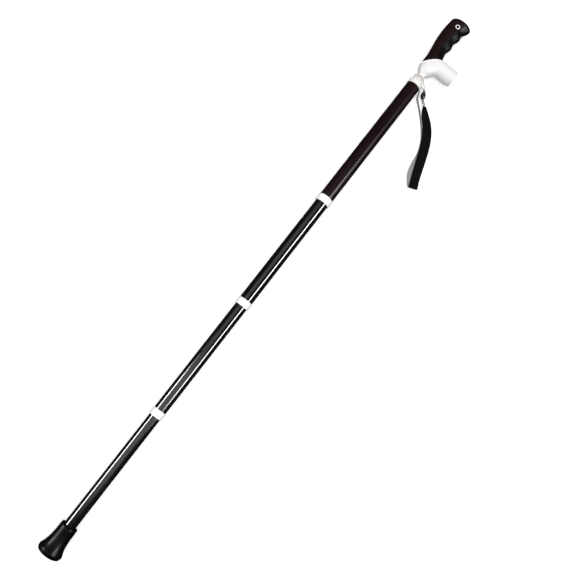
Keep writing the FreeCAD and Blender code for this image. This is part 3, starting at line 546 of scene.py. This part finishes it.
def foot():
    """Bell-shaped rubber foot: ringed base, concave waist and an open cup at the top."""
    base = [(0.0, 0.02)]
    for inner, outer in TREAD_GROOVES:
        base += [(0.0, inner - TREAD_BEVEL), (TREAD_DEPTH, inner),
                 (TREAD_DEPTH, outer), (0.0, outer + TREAD_BEVEL)]
    base.append((0.0, GROUND_FACE_RADIUS))
    bm = bmesh.new()
    around = 96
    rows = []
    for x, radius in (*base, *FOOT_OUTLINE):
        dip = DIP_DEPTH * max(0.0, (x - DIP_FROM) / DIP_OVER) ** 2
        row = []
        for k in range(around):
            angle = math.tau * k / around
            sag = dip * abs(math.sin(angle)) ** 2.5
            row.append(bm.verts.new((x - sag, radius * math.cos(angle), radius * math.sin(angle))))
        rows.append(row)
    closed_tube(bm, rows)
    to_metres(bm)
    mesh = mesh_from("foot_bell", bm, 50.0)
    obj = new_object("foot_bell", mesh, "lower", "foot", "foot_rubber", "foot_ferrule")
    smooth = obj.modifiers.new("smooth", "SUBSURF")
    smooth.levels = smooth.render_levels = 1
    return obj


foot()

# ---------------------------------------------------------------- handle body

# Turned part: distance from the elbow, radius.
CORE_OUTLINE = (
    (-48.0, 12.0), (-46.5, 12.0), (-44.8, 11.95), (-43.2, 11.5), (-41.3, 10.4), (-39.3, 8.9),
    (-37.3, 7.4), (-35.2, 6.3), (-32.8, 5.8), (-30.4, 5.85), (-28.4, 6.4), (-26.2, 7.9),
    (-24.0, 9.7), (-21.4, 11.4), (-18.6, 12.4), (-16.2, 12.7), (4.0, 12.7), (30.0, 12.7),
)
# Snout: reach along -Y, shift towards the foot, radius.
SNOUT_OUTLINE = (
    (-30.0, 0.0, 12.7), (0.0, 0.0, 12.7), (8.0, -0.5, 12.7), (16.0, -1.4, 12.85), (24.0, -2.1, 13.15),
    (31.0, -2.4, 13.3), (37.0, -2.2, 13.1), (41.0, -1.9, 12.6), (50.0, -1.6, 12.0),
)
SNOUT_END = 42.95
SNOUT_END_ROUND = 2.2
# The crotch is rounded off over this reach, which grows from nothing over as much below the seam.
BLEND_REACH = 9.0
VOXEL = 0.8


def smooth_join(first, second, reach):
    """Distance to the union of two solids, rounded off over reach."""
    if reach <= 1e-6:
        return min(first, second)
    near = max(reach - abs(first - second), 0.0) / reach
    return min(first, second) - near * near * reach / 4


def handle_distance(p):
    """Signed distance, roughly, from the handle body's skin before it is cut at the seam."""
    x, y, z = p
    core = math.hypot(y, z) - table_value(CORE_OUTLINE, x)
    reach = -y
    shift, radius = table_value(SNOUT_OUTLINE, reach), table_value(SNOUT_OUTLINE, reach, 2)
    snout = math.hypot(x - shift, z) - radius
    end = reach - SNOUT_END
    snout = -smooth_join(-snout, -end, SNOUT_END_ROUND)
    below_seam = -(x + SETBACK + y) / math.sqrt(2)
    return smooth_join(core, snout, BLEND_REACH * clamp((below_seam - 1.0) / BLEND_REACH))


def onto_skin(p, steps=6):
    """Move a point onto the skin along the distance's slope."""
    h = 0.02
    for _ in range(steps):
        here = handle_distance(p)
        slope = Vector([
            handle_distance(p + Vector(step)) - handle_distance(p - Vector(step))
            for step in ((h, 0, 0), (0, h, 0), (0, 0, h))
        ]) / (2 * h)
        length = max(slope.length, 0.3)
        p = p - slope * (here / (length * length))
        if abs(here) < 0.002:
            break
    return p


def tube_along(bm, places, radii, ring):
    """Closed tube through places with the given radii; ring gives a section's point."""
    around = 48
    closed_tube(bm, [
        [bm.verts.new(ring(place, radius, math.tau * k / around)) for k in range(around)]
        for place, radius in zip(places, radii)
    ])


def keep_side(bm, point, normal):
    """Cut a closed mesh by a plane, drop what lies past it and close the cut."""
    geometry = bm.verts[:] + bm.edges[:] + bm.faces[:]
    bmesh.ops.bisect_plane(bm, geom=geometry, dist=1e-5,
                           plane_co=point, plane_no=normal, clear_outer=True)
    rim = [edge for edge in bm.edges if edge.is_boundary]
    bmesh.ops.holes_fill(bm, edges=rim, sides=0)


def millimetre_steps(start, count):
    return [start + k for k in range(count)]


def rough_handle():
    """Core and snout joined by voxels, a first shape whose points then move onto the skin."""
    bm = bmesh.new()
    xs = millimetre_steps(-47.5, 66)
    tube_along(bm, xs, [table_value(CORE_OUTLINE, x) for x in xs],
               lambda x, r, a: (x, r * math.cos(a), r * math.sin(a)))
    reaches = millimetre_steps(-15.0, 58) + [SNOUT_END]
    tube_along(bm, reaches, [table_value(SNOUT_OUTLINE, s, 2) for s in reaches],
               lambda s, r, a: (table_value(SNOUT_OUTLINE, s) + r * math.cos(a), -s, r * math.sin(a)))
    bmesh.ops.recalc_face_normals(bm, faces=bm.faces)
    tubes = bpy.data.meshes.new("handle_rough")
    bm.to_mesh(tubes)
    bm.free()
    holder = bpy.data.objects.new("handle_rough", tubes)
    bpy.context.collection.objects.link(holder)
    remesh = holder.modifiers.new("voxels", "REMESH")
    remesh.mode = "VOXEL"
    remesh.voxel_size = VOXEL
    remesh.adaptivity = 0.0
    bpy.context.view_layer.update()
    evaluated = holder.evaluated_get(bpy.context.evaluated_depsgraph_get())
    joined = bpy.data.meshes.new_from_object(evaluated)
    bpy.data.objects.remove(holder)
    bm = bmesh.new()
    bm.from_mesh(joined)
    bpy.data.meshes.remove(joined)
    return bm


def handle_body():
    """Domed base, thin neck and elbow flowing into the round snout."""
    bm = rough_handle()
    for vert in bm.verts:
        vert.co = onto_skin(vert.co)
    for _ in range(3):
        bmesh.ops.smooth_vert(bm, verts=bm.verts, factor=0.5,
                              use_axis_x=True, use_axis_y=True, use_axis_z=True)
        for vert in bm.verts:
            vert.co = onto_skin(vert.co, 3)
    keep_side(bm, (-SETBACK, 0, 0), SEAM_NORMAL)
    keep_side(bm, (BASE_X, 0, 0), Vector((-1, 0, 0)))
    to_frame(bm)
    mesh = mesh_from("handle_shape", bm, 50.0)
    return new_object("handle_shape", mesh, "handle", "white", "white_plastic", "handle_body")


handle_body()

# ---------------------------------------------------------------- grip

# Distance past the elbow, top, finger side, half thickness.
GRIP_SECTIONS = (
    (-20.0, 12.7, -12.7, 12.7), (-6.0, 12.7, -12.7, 12.7), (7.0, 13.2, -12.6, 12.3),
    (17.0, 14.4, -10.3, 11.2), (25.0, 15.5, -8.8, 10.5), (35.0, 16.9, -11.5, 11.1),
    (45.0, 17.6, -9.8, 11.3), (56.0, 17.9, -13.3, 12.0), (65.0, 17.5, -12.2, 12.2),
    (76.0, 16.7, -18.2, 13.2), (80.0, 16.4, -18.9, 13.4),
)
# The wave line's low points, and how far it rises between each and the next.
WAVE_CUSPS = ((-20.0, -3.8), (4.0, -3.2), (39.0, -2.4), (58.0, -4.2), (79.0, -7.0), (96.0, -9.0))
WAVE_RISES = (0.6, 4.4, 3.0, 2.2, 0.4)
INLAY_WIDTH = 1.3
# The end's edge is rounded by GRIP_ROUND over the last END_REACH of the grip.
GRIP_ROUND, END_REACH = 1.9, 4.0
# The grip's walls start this far above the seam's plane, where the swivel ring ends.
SEAM_FACE = 1.8
SKIN = 2.4
# Each wall's long edges sink by LIP_DEPTH over LIP_REACH.
LIP_DEPTH, LIP_REACH = 0.28, 0.6


def wave(x):
    """Height of the wave line between shell and finger pad."""
    x_on_wave = max(x, WAVE_CUSPS[0][0])
    i = max(k for k in range(len(WAVE_RISES)) if WAVE_CUSPS[k][0] <= x_on_wave)
    (x0, y0), (x1, y1) = WAVE_CUSPS[i], WAVE_CUSPS[i + 1]
    t = (x - x0) / (x1 - x0)
    return y0 + (y1 - y0) * t + WAVE_RISES[i] * 4 * t * (1 - t)


def grip_section(x, inset=0.0):
    """Centre height and half axes of the grip's oval section."""
    top, bottom, half = (table_value(GRIP_SECTIONS, x, column) for column in (1, 2, 3))
    tip = clamp((x - (GRIP_LENGTH - END_REACH)) / END_REACH)
    inset += GRIP_ROUND * (1 - math.sqrt(1 - tip ** 2))
    return (top + bottom) / 2, (top - bottom) / 2 - inset, half - inset


def edge_angle(x, height):
    """Angle from the grip's top at which its skin is at this height."""
    centre, tall, _ = grip_section(x)
    return math.acos(min(0.98, max(-0.98, (height - centre) / tall)))


def grip_point(x, angle, inset):
    centre, tall, half = grip_section(x, inset)
    return (x, centre + tall * math.cos(angle), half * math.sin(angle))


def grip_patch(name, start_at, end_at, relief, columns, look, slot, *replaced):
    """Curved wall of the grip between two angles at each distance, with relief cut into its skin."""
    last_steps, last_reach = 10, 3.0
    xs = millimetre_steps(-19.0, int(GRIP_LENGTH) + 16)
    xs += [GRIP_LENGTH - last_reach + last_reach * math.sin(math.pi / 2 * k / last_steps)
           for k in range(last_steps + 1)]
    edges = [0.0, 0.15, 0.35, LIP_REACH]
    bm = bmesh.new()
    rows = []
    for x in xs:
        start, end = start_at(x), end_at(x)
        _, tall, half = grip_section(x)
        arc = abs(end - start) * (tall + half) / 2
        shares = [min(0.45, d / arc) for d in edges]
        inner = [shares[-1] + (1 - 2 * shares[-1]) * k / columns for k in range(1, columns)]
        places = shares + inner + [1 - s for s in reversed(shares)]
        outer_row, inner_row = [], []
        for share in places:
            angle = start + (end - start) * share
            border = min(share, 1 - share) * arc
            lip = LIP_DEPTH * max(0.0, 1 - border / LIP_REACH) ** 2
            outer_row.append(bm.verts.new(grip_point(x, angle, lip + relief(share))))
            inner_row.append(bm.verts.new(grip_point(x, angle, SKIN)))
        rows.append(outer_row + list(reversed(inner_row)))
    grid_faces(bm, rows, True)
    for row, turn in ((rows[0], 1), (rows[-1], -1)):
        half = len(row) // 2
        for k in range(half - 1):
            face = (row[k], row[k + 1], row[-2 - k], row[-1 - k])
            bm.faces.new(face[::turn])
    bmesh.ops.recalc_face_normals(bm, faces=bm.faces)
    keep_side(bm, SEAM_NORMAL * SEAM_FACE - Vector((SETBACK, 0, 0)), -SEAM_NORMAL)
    to_frame(bm)
    return new_object(name, mesh_from(name, bm, 50.0), "grip", look, slot, *replaced)


def line_angle(x):
    return edge_angle(x, wave(x))


def pad_angle(x):
    return edge_angle(x, wave(x) - INLAY_WIDTH)


def no_relief(share):
    return 0.0


def pad_relief(share):
    """Soft ribs that follow the wave line round the finger side."""
    ribs_a_side, half_depth = 4, 0.16
    from_edge = min(share, 1 - share) * 2
    return half_depth * (1 - math.cos(math.tau * ribs_a_side * from_edge)) * min(1.0, from_edge * 6)


grip_patch("grip_skin", lambda x: -line_angle(x), line_angle, no_relief, 60,
           "shell", "grip_plastic", "grip_shell")
grip_patch("grip_pad", pad_angle, lambda x: math.tau - pad_angle(x), pad_relief, 72,
           "pad", "grip_rubber", "finger_pad")
grip_patch("piping_above", line_angle, pad_angle, no_relief, 4,
           "pad", "grip_rubber", "grip_piping")
grip_patch("inlay_below", lambda x: -pad_angle(x), lambda x: -line_angle(x), no_relief, 4,
           "collar", "white_plastic", "grip_inlay")


def end_plug():
    """White oval plug with a sunk disc in the grip's end."""
    # Inset from the grip's rounded end section, distance past the grip's end.
    outline = ((0.05, -3.4), (0.05, -0.5), (0.15, 0.0), (0.45, 0.35), (0.9, 0.5), (2.4, 0.55),
               (2.9, 0.35), (3.1, -0.15), (3.5, -0.25), (5.0, -0.25), (8.0, -0.2))
    around = 96
    bm = bmesh.new()
    rows = []
    for inset, ahead in outline:
        row = []
        for k in range(around):
            _, y, z = grip_point(GRIP_LENGTH, math.tau * k / around, inset)
            row.append(bm.verts.new((GRIP_LENGTH + ahead, y, z)))
        rows.append(row)
    closed_tube(bm, rows)
    to_frame(bm)
    return new_object("grip_end_plug", mesh_from("grip_end_plug", bm), "grip", "collar", "white_plastic",
                      "grip_end_cap", "end_cap_disc")


end_plug()


def ring_mark(name, side):
    """Small plain ring let into the grip's side."""
    centre_x, centre_y, inner, outer, taller = 66.3, 1.6, 2.3, 3.3, 1.15
    sunk, proud, bevel = -0.4, 0.07, 0.15
    profile = ((inner, sunk), (inner, 0.0), (inner + bevel, proud),
               (outer - bevel, proud), (outer, 0.0), (outer, sunk))
    around = 48
    bm = bmesh.new()
    rows = []
    for k in range(around):
        angle = math.tau * k / around
        row = []
        for radius, lift in profile:
            x = centre_x + radius * math.cos(angle)
            y = centre_y + radius * taller * math.sin(angle)
            middle, tall, half = grip_section(x)
            z = half * math.sqrt(1 - ((y - middle) / tall) ** 2) + lift
            row.append(bm.verts.new((x, y, side * z)))
        rows.append(row)
    rows.append(rows[0])
    grid_faces(bm, rows, True)
    to_frame(bm)
    return new_object(name, mesh_from(name, bm), "grip", "collar", "white_plastic")


ring_mark("mark_above", 1)
ring_mark("mark_below", -1)

# ---------------------------------------------------------------- stage

# The stick lies on its foot's bulb and its snout, so the floor slopes a little.
FLOOR_LOW = (0.0065, -0.0182)
FLOOR_HIGH = (0.960, -0.0138)
FLOOR_SLOPE = math.atan2(FLOOR_HIGH[1] - FLOOR_LOW[1], FLOOR_HIGH[0] - FLOOR_LOW[0])
FLOOR_HALF = 4.0
FLOOR_GAP = 0.0001


def floor_material():
    n = Nodes("floor_white")
    tone = n.ramp(n.noise(6.0, detail=2.0), [(0.3, (0.93, 0.93, 0.93)), (0.7, (0.95, 0.95, 0.95))])
    glow = (1.0, 1.0, 1.0, 1.0)
    return n.finish(tone, n.spread(n.noise(25.0), 0.7, 0.8), None, Specular_IOR_Level=0.1,
                    Emission_Color=glow, Emission_Strength=0.22)


floor_mesh = bpy.data.meshes.new("floor")
corners = [(x * FLOOR_HALF, y * FLOOR_HALF, 0.0) for x, y in ((-1, -1), (1, -1), (1, 1), (-1, 1))]
floor_mesh.from_pydata(corners, [], [(0, 1, 2, 3)])
floor = bpy.data.objects.new("floor", floor_mesh)
bpy.context.collection.objects.link(floor)
floor.rotation_euler = (0.0, -FLOOR_SLOPE, 0.0)
floor.location = (FLOOR_LOW[0], 0.0, FLOOR_LOW[1] - FLOOR_GAP)
floor_mesh.materials.append(floor_material())
floor.visible_glossy = False
floor.visible_diffuse = False


def area_light(name, place, target, size, power, lights_up):
    """Rectangular light, width along the shaft, that only "surfaces" or "reflections" see."""
    data = bpy.data.lights.new(name, "AREA")
    data.shape = "RECTANGLE"
    data.size, data.size_y = size
    data.energy = power
    light = bpy.data.objects.new(name, data)
    bpy.context.collection.objects.link(light)
    z_axis = (Vector(place) - Vector(target)).normalized()
    x_axis = (Vector((1, 0, 0)) - z_axis * z_axis.x).normalized()
    y_axis = z_axis.cross(x_axis)
    turned = Matrix((x_axis, y_axis, z_axis)).transposed().to_4x4()
    light.matrix_world = Matrix.Translation(place) @ turned
    light.visible_diffuse = lights_up == "surfaces"
    light.visible_glossy = lights_up == "reflections"
    light.visible_camera = False


area_light("overhead", (0.5, -0.1, 2.6), (0.5, 0.0, 0.0), (3.4, 3.4), 89.0, "surfaces")
for name, place, aim_x, size, power in (
    ("strip_right", (0.64, -1.05, 0.90), 0.45, (0.98, 0.32), 44.0),
    ("strip_right_dim", (1.17, -1.05, 0.86), 0.68, (0.34, 0.30), 2.2),
    ("strip_left", (-0.04, 1.05, 0.70), 0.16, (0.66, 0.30), 32.0),
    ("card_low", (0.0, 0.1, 1.95), 0.17, (0.74, 3.0), 12.0),
    ("card_high", (0.82, 0.75, 1.95), 0.5, (0.86, 2.0), 6.0),
):
    area_light(name, place, (aim_x, 0.0, 0.0), size, power, "reflections")

# Daylight fill that reflections see much dimmer, as between dark flags in a studio.
FILL, FILL_IN_GLOSS = 0.52, 0.03
world = bpy.data.worlds.new("world")
world.use_nodes = True
sky = world.node_tree.nodes["Background"]
sky.inputs["Color"].default_value = (1.0, 1.0, 1.0, 1.0)
rays = world.node_tree.nodes.new("ShaderNodeLightPath")
level = world.node_tree.nodes.new("ShaderNodeMapRange")
level.inputs["To Min"].default_value = FILL
level.inputs["To Max"].default_value = FILL_IN_GLOSS
world.node_tree.links.new(rays.outputs["Is Glossy Ray"], level.inputs["Value"])
world.node_tree.links.new(level.outputs["Result"], sky.inputs["Strength"])
bpy.context.scene.world = world
bpy.context.scene.view_settings.view_transform = "Standard"
bpy.context.scene.view_settings.look = "None"
